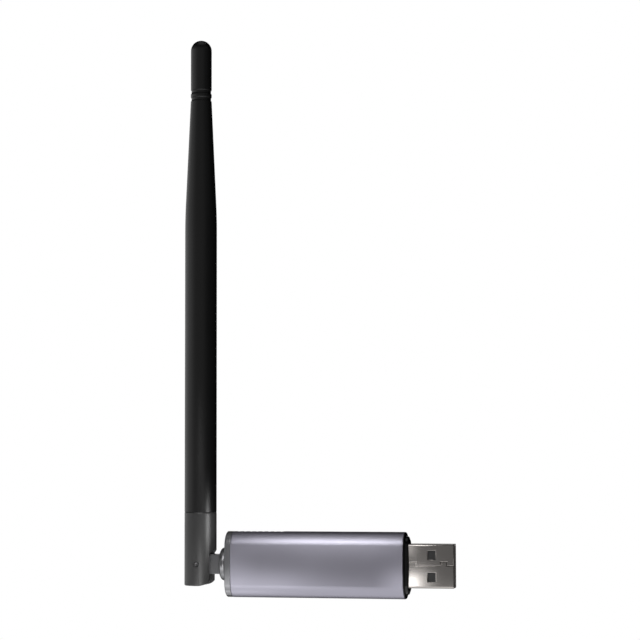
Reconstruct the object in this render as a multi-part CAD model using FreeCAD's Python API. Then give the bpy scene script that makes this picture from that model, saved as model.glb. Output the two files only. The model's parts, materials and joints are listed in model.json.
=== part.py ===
"""Smart home USB radio stick with a folding rod antenna, in millimetres.

The origin is the middle of the shoulder that the USB plug stands out of. +X runs along
the stick towards the plug's mouth, +Z runs up the antenna and -Y faces the broad front.
"""
import FreeCAD, Part
import math
import os

# Housing: an extruded aluminium tube of oval section, crowned on its broad faces
HOUSING_WIDTH = 18.2
HOUSING_THICKNESS = 9.0
SIDE_ROUND = 4.2
SLEEVE_LENGTH = 48.3
SLEEVE_WALL = 0.9
SLEEVE_EDGE_BREAK = 0.15

# Card rails on the inside of the two narrow sides
RAIL_THICKNESS = 0.8
RAIL_REACH = 1.0
CARD_CLEARANCE = 0.08

# Vent slots through the top narrow side, on a shallow milled land
VENT_COUNT = 8
VENT_PITCH = 1.72
VENT_WIDTH = 0.8
VENT_LENGTH = 2.4
VENT_CORNER = 0.24
VENT_LAND_DEPTH = 0.08
VENT_FROM_CAP = 1.45

# Plug end cap
PLUG_CAP_FLANGE = 0.25
PLUG_CAP_BOSS = 1.05
PLUG_CAP_STEP = 1.1
PLUG_CAP_FLANGE_EDGE = 0.15
PLUG_CAP_BOSS_DRAFT = 0.15
PLUG_CAP_BOSS_EDGE = 0.35
PLUG_CAP_BOSS_SLOPE = 1.0
PLUG_CAP_SKIRT = 5.4
PLUG_CAP_GRIP = 3.4
PLUG_CAP_GRIP_WALL = 0.7
CAP_SKIRT_WALL = 1.0
CAP_SKIRT_HALF = 5.6
CAP_FIT = 0.06
CAP_INSET = 0.04
RAIL_GAP = 0.15

# Antenna end cap
ANTENNA_CAP_FLANGE = 1.65
ANTENNA_CAP_ROUND = 0.25
ANTENNA_CAP_SKIRT = 3.6
ANTENNA_CAP_HUB_RADIUS = 4.1
SWIVEL_ROOM_RADIUS = 3.54
ANTENNA_CAP_HUB_HEIGHT = 1.2

# USB type A plug: a folded steel shell round a plastic tongue with four contacts
PLUG_WIDTH = 12.0
PLUG_HEIGHT = 4.5
PLUG_LENGTH = 12.2
PLUG_INSIDE = 6.2
SHELL_SHEET = 0.3
SHELL_FOLD = 0.6
SHELL_FIT = 0.05
WINDOW_LENGTH = 2.1
WINDOW_WIDTH = 2.45
WINDOW_FROM_MOUTH = 5.0
WINDOW_OFFSET = 2.97
SEAM_GAP = 0.05
SEAM_Z = 0.08
SEAM_ROOT_Z = 1.06
SEAM_ROOT_LENGTH = 1.9
DOVETAIL_FROM_MOUTH = 2.7
DOVETAIL_NECK = 1.3
DOVETAIL_HEAD = 1.75
DOVETAIL_HEIGHT = 1.1
SHELL_TAB_LENGTH = 2.4
SHELL_TAB_HEIGHT = 2.6
TONGUE_WIDTH = 11.1
TONGUE_THICKNESS = 1.84
TONGUE_SETBACK = 0.5
TONGUE_GAP = 0.05
TONGUE_NOSE = 0.3
TONGUE_BLOCK = 4.6
CONTACT_WIDTH = 1.0
CONTACT_THICKNESS = 0.2
CONTACT_PROUD = 0.06
CONTACT_OUTER_Z = 3.5
CONTACT_INNER_Z = 1.0
CONTACT_OUTER_SETBACK = 1.2
CONTACT_INNER_SETBACK = 2.2
CONTACT_TAIL = 1.8

# Circuit board
BOARD_TO_SHAFT = 5.65
BOARD_THICKNESS = 1.0
BOARD_GAP_TO_BLOCK = 0.6
BOARD_EDGE_GAP = 0.12
BOARD_NOSE_WIDTH = 11.0
BOARD_CORNER = 0.8
TAB_SLOT_CLEARANCE = 0.1

# Parts on the board: length along X, width along Z, height off the board.
# Each place is a share of the board's length from its nose, and of its half width.
BRIDGE_CHIP = (4.0, 4.0, 0.85)
BRIDGE_CHIP_AT = (0.26, 0.15)
BRIDGE_CRYSTAL = (3.2, 2.5, 0.8)
BRIDGE_CRYSTAL_AT = (0.26, -0.58)
REGULATOR = (2.9, 1.6, 1.1)
REGULATOR_AT = (0.162, 0.68)
INDUCTOR = (2.5, 2.0, 1.2)
INDUCTOR_AT = (0.391, 0.64)
SHIELD_LENGTH_SHARE = 0.32
SHIELD_WIDTH_SHARE = 0.79
SHIELD_HEIGHT = 1.9
SHIELD_AT = (0.598, 0.07)
SHIELD_SHEET = 0.2
SHIELD_EDGE = 0.35
RADIO_CHIP = (5.0, 5.0, 0.85)
RADIO_CHIP_AT = (0.57, 0.26)
RADIO_CRYSTAL = (2.5, 2.0, 0.6)
RADIO_CRYSTAL_AT = (0.57, -0.44)
CHIP_STANDOFF = 0.05
CHIP_BEVEL = 0.12
CAPACITOR = (1.6, 0.8, 0.8)
CAPACITORS_AT = ((0.123, 0.28), (0.123, 0.05), (0.173, -0.33), (0.363, 0.2), (0.363, -0.2), (0.905, 0.66))
RESISTOR = (1.0, 0.5, 0.35)
RESISTORS_AT = ((0.134, -0.66), (0.134, -0.82), (0.363, -0.72), (0.872, 0.4))
TERMINAL_SHARE = 0.22
TERMINAL_PROUD = 0.02

# Miniature coaxial plug and socket, and the lead to the antenna
SOCKET_AT = (0.832, 0.0)
SOCKET_SIDE = 2.6
SOCKET_BASE = 0.35
SOCKET_RADIUS = 1.0
SOCKET_HEIGHT = 1.25
SOCKET_BORE = 0.7
SOCKET_PIN_RADIUS = 0.25
COAX_PLUG_RADIUS = 1.35
COAX_PLUG_HEIGHT = 1.1
COAX_PLUG_GAP = 0.05
COAX_PLUG_NECK = 1.3
COAX_PLUG_NECK_LENGTH = 1.6
COAX_DIAMETER = 1.13
COAX_RUN_ON_BOARD = 3.05
COAX_RUN_ON_AXIS = 2.5
COAX_JOINT_GAP = 0.06

# Swivel: a moulded knuckle whose hollow shaft turns in the end cap
FLANGE_RADIUS = 4.49
FLANGE_THICKNESS = 1.55
FLANGE_GAP = 0.06
FLANGE_EDGE = 0.35
SHAFT_RADIUS = 2.3
SHAFT_CLEARANCE = 0.05
SHAFT_TAIL = 0.8
COAX_CHANNEL = 1.5
WASHER_RADIUS = 3.3
WASHER_THICKNESS = 0.35
WASHER_GAP = 0.04
CLIP_RADIUS = 3.2
CLIP_THICKNESS = 0.5
CLIP_GROOVE_DEPTH = 0.5
CLIP_MOUTH = 3.4

# Elbow: a tongue on the knuckle, between the ears of the antenna's base
PIVOT_FROM_FLANGE = 6.27
TONGUE_HEIGHT = 5.44
TONGUE_PLATE = 3.64
PIN_RADIUS = 0.8
PIN_CLEARANCE = 0.04
PIN_RECESS = 0.35
PIN_INTO_TONGUE = 1.0

# Antenna base: a cylinder with a slot, a flat and a rounded corner towards the stick
BASE_RADIUS = 4.47
BASE_BELOW_PIVOT = 5.95
BASE_SEAM_HEIGHT = 14.3
BASE_SLOT_SIDE_GAP = 0.08
BASE_SLOT_ROOF_GAP = 0.2
BASE_BACK_WALL = 1.3
BASE_FLAT = 3.3
BASE_CORNER = 4.2
BASE_SHOULDER = 1.15
BASE_EDGE_BREAK = 0.12
BASE_BOTTOM_EDGE = 0.2
SPIGOT_RADIUS = 3.3
SPIGOT_HEIGHT = 7.5

# Antenna radome: a long thin sheath with a taper, two grooves and a domed tip
RADOME_HEIGHT = 146.95
RADOME_BODY_RADIUS = 4.46
RADOME_BODY_TOP = 96.3
RADOME_TIP_RADIUS = 2.945
RADOME_WALL = 1.1
RADOME_SHOULDER_BLEND = 4.0
GROOVE_LOW = 130.15
GROOVE_HIGH = 132.2
GROOVE_WIDTH = 1.3
GROOVE_FLOOR = 0.6
GROOVE_DEPTH = 0.19
RADOME_BORE_STEP_GAP = 10.3
ROD_TIP_GAP = 3.3

# Radiating parts inside the radome: a sleeve dipole fed by the coax
DIPOLE_SLEEVE_RADIUS = 2.6
DIPOLE_SLEEVE_WALL = 0.3
DIPOLE_SLEEVE_LENGTH = 60.0
DIPOLE_GAP = 1.2
DIPOLE_ROD_RADIUS = 0.6
DIPOLE_ROD_LENGTH = 40.0
SPACER_LENGTH = 4.0
SPACER_SETBACK = 6.0
SPACER_GAP = 0.1

# Places along X and Z worked out from the sizes above
SLEEVE_RIGHT = -(PLUG_CAP_BOSS + PLUG_CAP_FLANGE)
SLEEVE_LEFT = SLEEVE_RIGHT - SLEEVE_LENGTH
CAP_LEFT = SLEEVE_LEFT - ANTENNA_CAP_FLANGE
FLANGE_RIGHT = CAP_LEFT - FLANGE_GAP
FLANGE_LEFT = FLANGE_RIGHT - FLANGE_THICKNESS
PIVOT_X = FLANGE_LEFT - PIVOT_FROM_FLANGE
HUB_RIGHT = SLEEVE_LEFT + ANTENNA_CAP_HUB_HEIGHT
WASHER_RIGHT = HUB_RIGHT + WASHER_THICKNESS
CLIP_LEFT = WASHER_RIGHT + WASHER_GAP
CLIP_RIGHT = CLIP_LEFT + CLIP_THICKNESS
SHAFT_END = CLIP_RIGHT + SHAFT_TAIL
BASE_SLOT_HALF = TONGUE_PLATE / 2 + BASE_SLOT_SIDE_GAP
BASE_SLOT_ROOF = TONGUE_HEIGHT / 2 + BASE_SLOT_ROOF_GAP
TONGUE_FRONT = -PLUG_HEIGHT / 2 + SHELL_SHEET + TONGUE_GAP
TONGUE_BACK = TONGUE_FRONT + TONGUE_THICKNESS
BOARD_BACK = TONGUE_BACK + CONTACT_PROUD - CONTACT_THICKNESS
BOARD_FRONT = BOARD_BACK - BOARD_THICKNESS
BOARD_RIGHT = -TONGUE_BLOCK - BOARD_GAP_TO_BLOCK
BOARD_LEFT = SHAFT_END + BOARD_TO_SHAFT
BOARD_LENGTH = BOARD_RIGHT - BOARD_LEFT
BOARD_HALF = HOUSING_WIDTH / 2 - SLEEVE_WALL - BOARD_EDGE_GAP - SLEEVE_WALL / 4
COAX_RADIUS = COAX_DIAMETER / 2
COAX_CHANNEL_RADIUS = COAX_CHANNEL / 2
PLUG_AXIS_Y = BOARD_BACK + SOCKET_BASE + COAX_PLUG_GAP + COAX_PLUG_HEIGHT / 2
RADOME_BORE = SPIGOT_RADIUS
RADOME_TAPER_TOP = GROOVE_LOW - GROOVE_WIDTH / 2
SPIGOT_TOP = BASE_SEAM_HEIGHT + SPIGOT_HEIGHT
DIPOLE_SLEEVE_FOOT = SPIGOT_TOP
DIPOLE_SLEEVE_TOP = DIPOLE_SLEEVE_FOOT + DIPOLE_SLEEVE_LENGTH
DIPOLE_ROD_FOOT = DIPOLE_SLEEVE_TOP + DIPOLE_GAP
DIPOLE_ROD_TOP = DIPOLE_ROD_FOOT + DIPOLE_ROD_LENGTH

V = FreeCAD.Vector
X_AXIS = V(1, 0, 0)
Y_AXIS = V(0, 1, 0)
Z_AXIS = V(0, 0, 1)


def block(x_low, x_high, y_low, y_high, z_low, z_high):
    """A box between two corners."""
    return Part.makeBox(x_high - x_low, y_high - y_low, z_high - z_low, V(x_low, y_low, z_low))


def rod_x(radius, x_low, x_high, y=0.0, z=0.0):
    """A cylinder along X."""
    return Part.makeCylinder(radius, x_high - x_low, V(x_low, y, z), X_AXIS)


def rod_y(radius, y_low, y_high, x=0.0, z=0.0):
    """A cylinder along Y."""
    return Part.makeCylinder(radius, y_high - y_low, V(x, y_low, z), Y_AXIS)


def rod_z(radius, z_low, z_high, x=0.0, y=0.0):
    """A cylinder along Z."""
    return Part.makeCylinder(radius, z_high - z_low, V(x, y, z_low), Z_AXIS)


def oval_wire(x, inset=0.0):
    """The housing's section at X = x, moved inwards by inset: four arcs, tangent all round."""
    half_width = HOUSING_WIDTH / 2 - inset
    half_thickness = HOUSING_THICKNESS / 2 - inset
    side = SIDE_ROUND - inset
    side_z = half_width - side
    crown = (half_thickness ** 2 + side_z ** 2 - side ** 2) / (2 * (half_thickness - side))
    crown_y = crown - half_thickness
    reach = side / (crown - side)
    join_y = crown_y * reach
    join_z = side_z * (1 + reach)
    low_front = V(x, -join_y, -join_z)
    high_front = V(x, -join_y, join_z)
    high_back = V(x, join_y, join_z)
    low_back = V(x, join_y, -join_z)
    arcs = [
        Part.Arc(low_front, V(x, -half_thickness, 0), high_front),
        Part.Arc(high_front, V(x, 0, half_width), high_back),
        Part.Arc(high_back, V(x, half_thickness, 0), low_back),
        Part.Arc(low_back, V(x, 0, -half_width), low_front),
    ]
    return Part.Wire([arc.toShape() for arc in arcs])


def oval_bar(x_low, x_high, inset=0.0):
    """A solid bar of the housing's section."""
    return Part.Face(oval_wire(x_low, inset)).extrude(V(x_high - x_low, 0, 0))


def oval_stack(stations):
    """A solid through the housing's section at several stations, each an X and an inset."""
    return Part.makeLoft([oval_wire(x, inset) for x, inset in stations], True, True)


def edges_at_x(shape, x, length_over=0.0):
    """The shape's edges that lie in the plane X = x."""
    found = []
    for edge in shape.Edges:
        box = edge.BoundBox
        if abs(box.XMin - x) < 1e-4 and abs(box.XMax - x) < 1e-4 and edge.Length > length_over:
            found.append(edge)
    return found


def edges_at_z(shape, z):
    """The shape's edges that lie in the plane Z = z."""
    found = []
    for edge in shape.Edges:
        box = edge.BoundBox
        if abs(box.ZMin - z) < 1e-4 and abs(box.ZMax - z) < 1e-4:
            found.append(edge)
    return found


def rounded_bar(x_low, x_high, half_y, half_z, corner):
    """A bar along X of rectangular section with round corners."""
    bar = block(x_low, x_high, -half_y, half_y, -half_z, half_z)
    long_edges = [edge for edge in bar.Edges if edge.BoundBox.XLength > (x_high - x_low) / 2]
    return bar.makeFillet(corner, long_edges)


def slot_cutter(x, z_low, z_high):
    """A vent slot's cutter, long in Y, its corners cut off."""
    half_x = VENT_WIDTH / 2
    half_y = VENT_LENGTH / 2
    body = block(x - half_x, x + half_x, -half_y, half_y, z_low, z_high)
    upright = [edge for edge in body.Edges if edge.BoundBox.ZLength > (z_high - z_low) / 2]
    return body.makeChamfer(VENT_CORNER, upright)


def card_rails(x_low, x_high):
    """Two ribs on each narrow side, with a groove between them for the board's edge."""
    wall = HOUSING_WIDTH / 2
    tip = wall - SLEEVE_WALL - RAIL_REACH
    rails = []
    for side in (-1, 1):
        z_low = min(side * tip, side * wall)
        z_high = max(side * tip, side * wall)
        front = BOARD_FRONT - CARD_CLEARANCE
        back = BOARD_BACK + CARD_CLEARANCE
        rails.append(block(x_low, x_high, front - RAIL_THICKNESS, front, z_low, z_high))
        rails.append(block(x_low, x_high, back, back + RAIL_THICKNESS, z_low, z_high))
    bar = oval_bar(x_low, x_high, SLEEVE_WALL / 2)
    return [rail.common(bar) for rail in rails]


def vent_cutters():
    """A shallow land on the crest of the top side, and the row of slots through it."""
    crest = HOUSING_WIDTH / 2
    first = SLEEVE_LEFT + VENT_FROM_CAP
    last = first + VENT_PITCH * (VENT_COUNT - 1)
    land_end = last + VENT_PITCH / 2
    land = block(SLEEVE_LEFT - 1, land_end, -SIDE_ROUND, SIDE_ROUND, crest - VENT_LAND_DEPTH, crest + 1)
    slots = []
    for index in range(VENT_COUNT):
        place = first + VENT_PITCH * index
        slots.append(slot_cutter(place, crest - 2 * SLEEVE_WALL, crest + 1))
    return [land] + slots


def housing_sleeve():
    """The extruded tube with its card rails and vent slots."""
    outer = oval_bar(SLEEVE_LEFT, SLEEVE_RIGHT)
    ends = edges_at_x(outer, SLEEVE_LEFT) + edges_at_x(outer, SLEEVE_RIGHT)
    outer = outer.makeChamfer(SLEEVE_EDGE_BREAK, ends)
    tube = outer.cut(oval_bar(SLEEVE_LEFT - 1, SLEEVE_RIGHT + 1, SLEEVE_WALL))
    tube = tube.fuse(card_rails(SLEEVE_LEFT, SLEEVE_RIGHT))
    return tube.cut(vent_cutters()).removeSplitter()


def cap_skirt(x_low, x_high):
    """An end cap's skirt: two broad plates that follow the sleeve's faces with a light fit."""
    outer = oval_bar(x_low, x_high, SLEEVE_WALL + CAP_FIT)
    inner = oval_bar(x_low - 1, x_high + 1, SLEEVE_WALL + CAP_FIT + CAP_SKIRT_WALL)
    reach = HOUSING_THICKNESS
    middle = block(x_low - 1, x_high + 1, -reach, reach, -CAP_SKIRT_HALF, CAP_SKIRT_HALF)
    return outer.cut(inner).common(middle)


def plug_end_cap():
    """The cap that the plug stands out of: a flange, a smaller boss and a skirt."""
    flange = oval_stack([
        (SLEEVE_RIGHT, CAP_INSET),
        (-PLUG_CAP_BOSS - PLUG_CAP_FLANGE_EDGE, CAP_INSET),
        (-PLUG_CAP_BOSS, CAP_INSET + PLUG_CAP_FLANGE_EDGE),
    ])
    boss = oval_stack([
        (SLEEVE_RIGHT, PLUG_CAP_STEP),
        (-PLUG_CAP_BOSS, PLUG_CAP_STEP),
        (-PLUG_CAP_BOSS_EDGE, PLUG_CAP_STEP + PLUG_CAP_BOSS_DRAFT),
        (0, PLUG_CAP_STEP + PLUG_CAP_BOSS_DRAFT + PLUG_CAP_BOSS_SLOPE),
    ])
    skirt = cap_skirt(SLEEVE_RIGHT - PLUG_CAP_SKIRT, SLEEVE_RIGHT)
    half_y = PLUG_HEIGHT / 2 + SHELL_FIT
    half_z = PLUG_WIDTH / 2 + SHELL_FIT
    grip_left = SLEEVE_RIGHT - PLUG_CAP_GRIP
    grip_y = half_y + PLUG_CAP_GRIP_WALL
    grip_z = HOUSING_WIDTH / 2 - SLEEVE_WALL - RAIL_REACH - RAIL_GAP
    grip = block(grip_left, SLEEVE_RIGHT, -grip_y, grip_y, -grip_z, grip_z)
    grip = grip.common(oval_bar(grip_left, SLEEVE_RIGHT, SLEEVE_WALL + CAP_FIT))
    hole = rounded_bar(SLEEVE_RIGHT - PLUG_CAP_SKIRT - 1, 1, half_y, half_z, SHELL_FOLD + SHELL_FIT)
    return flange.fuse([boss, skirt, grip]).cut(hole).removeSplitter()


def antenna_end_cap():
    """The cap at the antenna's end: a rounded plate, a hub for the swivel and a skirt."""
    turn = ANTENNA_CAP_ROUND * (1 - math.sqrt(0.5))
    plate = oval_stack([
        (CAP_LEFT, CAP_INSET + ANTENNA_CAP_ROUND),
        (CAP_LEFT + turn, CAP_INSET + turn),
        (CAP_LEFT + ANTENNA_CAP_ROUND, CAP_INSET),
        (SLEEVE_LEFT, CAP_INSET),
    ])
    hub = rod_x(ANTENNA_CAP_HUB_RADIUS, SLEEVE_LEFT - 0.1, HUB_RIGHT)
    room = oval_bar(SLEEVE_LEFT - 1, HUB_RIGHT + 1, SLEEVE_WALL + CAP_FIT)
    skirt = cap_skirt(SLEEVE_LEFT, SLEEVE_LEFT + ANTENNA_CAP_SKIRT)
    skirt = skirt.cut(rod_x(SWIVEL_ROOM_RADIUS, SLEEVE_LEFT - 1, SLEEVE_LEFT + ANTENNA_CAP_SKIRT + 1))
    bore = rod_x(SHAFT_RADIUS + SHAFT_CLEARANCE, CAP_LEFT - 1, HUB_RIGHT + 1)
    return plate.fuse([hub.common(room), skirt]).cut(bore).removeSplitter()


def strip(start, end, y_low, y_high):
    """A thin straight cut through the shell's front wall, between two points in X and Z."""
    run = V(end[0] - start[0], 0, end[1] - start[1])
    length = run.Length + SEAM_GAP
    piece = Part.makeBox(length, y_high - y_low, SEAM_GAP, V(-SEAM_GAP / 2, y_low, -SEAM_GAP / 2))
    angle = math.degrees(math.atan2(-run.z, run.x))
    piece.rotate(V(0, 0, 0), Y_AXIS, angle)
    piece.translate(V(start[0], 0, start[1]))
    return piece


def shell_seam():
    """The joint of the folded sheet: a line with a step near the cap and a dovetail."""
    dovetail = PLUG_LENGTH - DOVETAIL_FROM_MOUTH
    points = [
        (-PLUG_INSIDE - 1, SEAM_ROOT_Z),
        (SEAM_ROOT_LENGTH, SEAM_ROOT_Z),
        (SEAM_ROOT_LENGTH, SEAM_Z),
        (dovetail - DOVETAIL_NECK / 2, SEAM_Z),
        (dovetail - DOVETAIL_HEAD / 2, SEAM_Z + DOVETAIL_HEIGHT),
        (dovetail + DOVETAIL_HEAD / 2, SEAM_Z + DOVETAIL_HEIGHT),
        (dovetail + DOVETAIL_NECK / 2, SEAM_Z),
        (PLUG_LENGTH + 1, SEAM_Z),
    ]
    y_low = -PLUG_HEIGHT / 2 - 1
    y_high = -PLUG_HEIGHT / 2 + 2 * SHELL_SHEET
    strips = [strip(start, end, y_low, y_high) for start, end in zip(points, points[1:])]
    return strips[0].fuse(strips[1:])


def shell_windows():
    """The four latch windows, two in each broad face."""
    x_high = PLUG_LENGTH - WINDOW_FROM_MOUTH
    x_low = x_high - WINDOW_LENGTH
    windows = []
    for z in (-WINDOW_OFFSET, WINDOW_OFFSET):
        z_low = z - WINDOW_WIDTH / 2
        windows.append(block(x_low, x_high, -PLUG_HEIGHT, PLUG_HEIGHT, z_low, z_low + WINDOW_WIDTH))
    return windows


def usb_shell():
    """The folded sheet shell of the plug, with seam, windows and two board tabs."""
    half_y = PLUG_HEIGHT / 2
    half_z = PLUG_WIDTH / 2
    outer = rounded_bar(-PLUG_INSIDE, PLUG_LENGTH, half_y, half_z, SHELL_FOLD)
    inner = rounded_bar(
        -PLUG_INSIDE - 1, PLUG_LENGTH + 1,
        half_y - SHELL_SHEET, half_z - SHELL_SHEET, SHELL_FOLD - SHELL_SHEET)
    shell = outer.cut(inner)
    tabs = []
    for side in (-1, 1):
        z_low = min(side * half_z, side * (half_z - SHELL_SHEET))
        tabs.append(block(
            -PLUG_INSIDE - SHELL_TAB_LENGTH, -PLUG_INSIDE,
            -SHELL_TAB_HEIGHT / 2, SHELL_TAB_HEIGHT / 2, z_low, z_low + SHELL_SHEET))
    shell = shell.fuse(tabs)
    return shell.cut(shell_windows() + [shell_seam()]).removeSplitter()


def contact_ranges():
    """Each contact's middle in Z and its front end in X."""
    outer = PLUG_LENGTH - CONTACT_OUTER_SETBACK
    inner = PLUG_LENGTH - CONTACT_INNER_SETBACK
    return [
        (-CONTACT_OUTER_Z, outer),
        (-CONTACT_INNER_Z, inner),
        (CONTACT_INNER_Z, inner),
        (CONTACT_OUTER_Z, outer),
    ]


def contact_bar(z, front):
    """One flat contact, from its tip on the tongue to its tail on the board."""
    y_high = TONGUE_BACK + CONTACT_PROUD
    half = CONTACT_WIDTH / 2
    return block(BOARD_RIGHT - CONTACT_TAIL, front, y_high - CONTACT_THICKNESS, y_high, z - half, z + half)


def usb_contacts():
    """The four contacts, the two outer ones reaching further forward."""
    return [contact_bar(z, front) for z, front in contact_ranges()]


def usb_tongue():
    """The plastic tongue and the block that fills the shell behind it."""
    tip = PLUG_LENGTH - TONGUE_SETBACK
    half = TONGUE_WIDTH / 2
    tongue = block(-TONGUE_BLOCK, tip, TONGUE_FRONT, TONGUE_BACK, -half, half)
    tip_edges = [edge for edge in edges_at_x(tongue, tip) if edge.BoundBox.ZLength > half]
    tongue = tongue.makeChamfer(TONGUE_NOSE, tip_edges)
    room_y = PLUG_HEIGHT / 2 - SHELL_SHEET - TONGUE_GAP
    room_z = PLUG_WIDTH / 2 - SHELL_SHEET - TONGUE_GAP
    base = rounded_bar(-TONGUE_BLOCK, 0, room_y, room_z, SHELL_FOLD - SHELL_SHEET)
    return tongue.fuse(base).cut(usb_contacts()).removeSplitter()


def board_outline():
    """The board's plate with its narrow nose inside the plug's shell."""
    half = BOARD_HALF
    shoulder = -PLUG_INSIDE - BOARD_EDGE_GAP
    body = block(BOARD_LEFT, shoulder, BOARD_FRONT, BOARD_BACK, -half, half)
    corners = [edge for edge in body.Edges if edge.BoundBox.YLength > BOARD_THICKNESS / 2]
    body = body.makeFillet(BOARD_CORNER, corners)
    half_nose = BOARD_NOSE_WIDTH / 2
    nose = block(shoulder - 1, BOARD_RIGHT, BOARD_FRONT, BOARD_BACK, -half_nose, half_nose)
    return body.fuse(nose).removeSplitter()


def circuit_board():
    """The board, slotted for the shell's two tabs."""
    slots = []
    for side in (-1, 1):
        middle = side * (PLUG_WIDTH / 2 - SHELL_SHEET / 2)
        half = SHELL_SHEET / 2 + TAB_SLOT_CLEARANCE
        left = -PLUG_INSIDE - SHELL_TAB_LENGTH - TAB_SLOT_CLEARANCE
        slots.append(block(left, -PLUG_INSIDE, -PLUG_HEIGHT, PLUG_HEIGHT, middle - half, middle + half))
    return board_outline().cut(slots)


def on_board(place):
    """The X and Z of a place on the board."""
    length_share, width_share = place
    return BOARD_RIGHT - length_share * BOARD_LENGTH, width_share * BOARD_HALF


def chip(size, place, standoff=0.0):
    """A moulded chip on the board's back face, its top edges bevelled."""
    length, width, height = size
    x, z = on_board(place)
    y_low = BOARD_BACK + standoff
    y_high = BOARD_BACK + height
    body = block(x - length / 2, x + length / 2, y_low, y_high, z - width / 2, z + width / 2)
    top = [edge for edge in body.Edges if edge.BoundBox.YMin > y_high - 1e-4]
    return body.makeChamfer(CHIP_BEVEL, top)


def chip_with_pads(size, place, pads, pad_length):
    """A chip with a row of pads that lie on the board along both sides."""
    body = chip(size, place, CHIP_STANDOFF)
    x, z = on_board(place)
    step = size[0] / (pads + 0.5)
    width = step / 2
    feet = []
    for index in range(pads):
        middle = x + step * (index - (pads - 1) / 2)
        for side in (-1, 1):
            outer = z + side * (size[1] / 2 + pad_length)
            inner = z + side * (size[1] / 2 - pad_length)
            feet.append(block(
                middle - width / 2, middle + width / 2, BOARD_BACK, BOARD_BACK + 3 * CHIP_STANDOFF,
                min(inner, outer), max(inner, outer)))
    return body.fuse(feet).removeSplitter()


def two_terminal(size, place):
    """A small two-terminal part: a body with a metal end at each side along X."""
    length, width, height = size
    x, z = on_board(place)
    end = length * TERMINAL_SHARE
    body = block(
        x - length / 2 + end / 2, x + length / 2 - end / 2,
        BOARD_BACK + TERMINAL_PROUD, BOARD_BACK + height - TERMINAL_PROUD,
        z - width / 2 + TERMINAL_PROUD, z + width / 2 - TERMINAL_PROUD)
    ends = []
    for side in (-1, 1):
        x_low = min(x + side * length / 2, x + side * (length / 2 - end))
        ends.append(block(
            x_low, x_low + end, BOARD_BACK, BOARD_BACK + height, z - width / 2, z + width / 2))
    return body.fuse(ends)


def shield_can():
    """The folded tinplate can over the radio, open towards the board."""
    length = SHIELD_LENGTH_SHARE * BOARD_LENGTH
    width = 2 * SHIELD_WIDTH_SHARE * BOARD_HALF
    height = SHIELD_HEIGHT
    x, z = on_board(SHIELD_AT)
    outer = block(
        x - length / 2, x + length / 2, BOARD_BACK, BOARD_BACK + height, z - width / 2, z + width / 2)
    folds = [edge for edge in outer.Edges if edge.BoundBox.YMax > BOARD_BACK + height / 2]
    outer = outer.makeChamfer(SHIELD_EDGE, folds)
    inner = block(
        x - length / 2 + SHIELD_SHEET, x + length / 2 - SHIELD_SHEET,
        BOARD_BACK - 1, BOARD_BACK + height - SHIELD_SHEET,
        z - width / 2 + SHIELD_SHEET, z + width / 2 - SHIELD_SHEET)
    inner_folds = [edge for edge in inner.Edges if edge.BoundBox.YMax > BOARD_BACK + height / 2]
    return outer.cut(inner.makeChamfer(SHIELD_EDGE - SHIELD_SHEET / 2, inner_folds))


def coax_socket():
    """The board's miniature coaxial socket: a base plate, a barrel and a centre pin."""
    x, z = on_board(SOCKET_AT)
    half = SOCKET_SIDE / 2
    top = BOARD_BACK + SOCKET_BASE
    base = block(x - half, x + half, BOARD_BACK, top, z - half, z + half)
    barrel = rod_y(SOCKET_RADIUS, top, BOARD_BACK + SOCKET_HEIGHT, x, z)
    barrel = barrel.cut(rod_y(SOCKET_BORE, top, BOARD_BACK + SOCKET_HEIGHT + 1, x, z))
    pin = rod_y(SOCKET_PIN_RADIUS, top, BOARD_BACK + SOCKET_HEIGHT - SOCKET_PIN_RADIUS, x, z)
    return base.fuse([barrel, pin]).removeSplitter()


def coax_plug():
    """The crimped right-angle plug that clips over the socket."""
    x, z = on_board(SOCKET_AT)
    low = BOARD_BACK + SOCKET_BASE + COAX_PLUG_GAP
    high = low + COAX_PLUG_HEIGHT
    cup = rod_y(COAX_PLUG_RADIUS, low, high, x, z)
    neck_left = x - COAX_PLUG_RADIUS - COAX_PLUG_NECK_LENGTH
    half = COAX_PLUG_NECK / 2
    neck = block(neck_left, x, PLUG_AXIS_Y - COAX_PLUG_HEIGHT / 2, high, z - half, z + half)
    room = rod_y(SOCKET_RADIUS + COAX_PLUG_GAP, low - 1, BOARD_BACK + SOCKET_HEIGHT + COAX_PLUG_GAP, x, z)
    return cup.fuse(neck).cut(room).removeSplitter()


def round_lead(points, radius):
    """A round lead in straight runs, with a ball where it turns."""
    lead = Part.makeSphere(radius, points[1])
    for turn in points[2:-1]:
        lead = lead.fuse(Part.makeSphere(radius, turn))
    for start, end in zip(points, points[1:]):
        run = end.sub(start)
        lead = lead.fuse(Part.makeCylinder(radius, run.Length, start, run))
    return lead.removeSplitter()


def coax_lead():
    """The lead from the plug on the board to the swivel's hollow shaft."""
    x, z = on_board(SOCKET_AT)
    start_x = x - COAX_PLUG_RADIUS - COAX_PLUG_NECK_LENGTH
    end_x = SHAFT_END + COAX_JOINT_GAP
    points = [
        V(start_x, PLUG_AXIS_Y, z),
        V(start_x - COAX_RUN_ON_BOARD, PLUG_AXIS_Y, z),
        V(end_x + COAX_RUN_ON_AXIS, 0, 0),
        V(end_x, 0, 0),
    ]
    return round_lead(points, COAX_RADIUS)


def swivel_coax():
    """The lead inside the swivel's shaft and neck, up to the elbow's pivot."""
    return rod_x(COAX_RADIUS, PIVOT_X + COAX_CHANNEL_RADIUS, SHAFT_END)


def swivel_washer():
    """The friction washer between the cap's hub and the clip."""
    ring = rod_x(WASHER_RADIUS, HUB_RIGHT, WASHER_RIGHT)
    return ring.cut(rod_x(SHAFT_RADIUS + 2 * SHAFT_CLEARANCE, HUB_RIGHT - 1, WASHER_RIGHT + 1))


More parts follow.
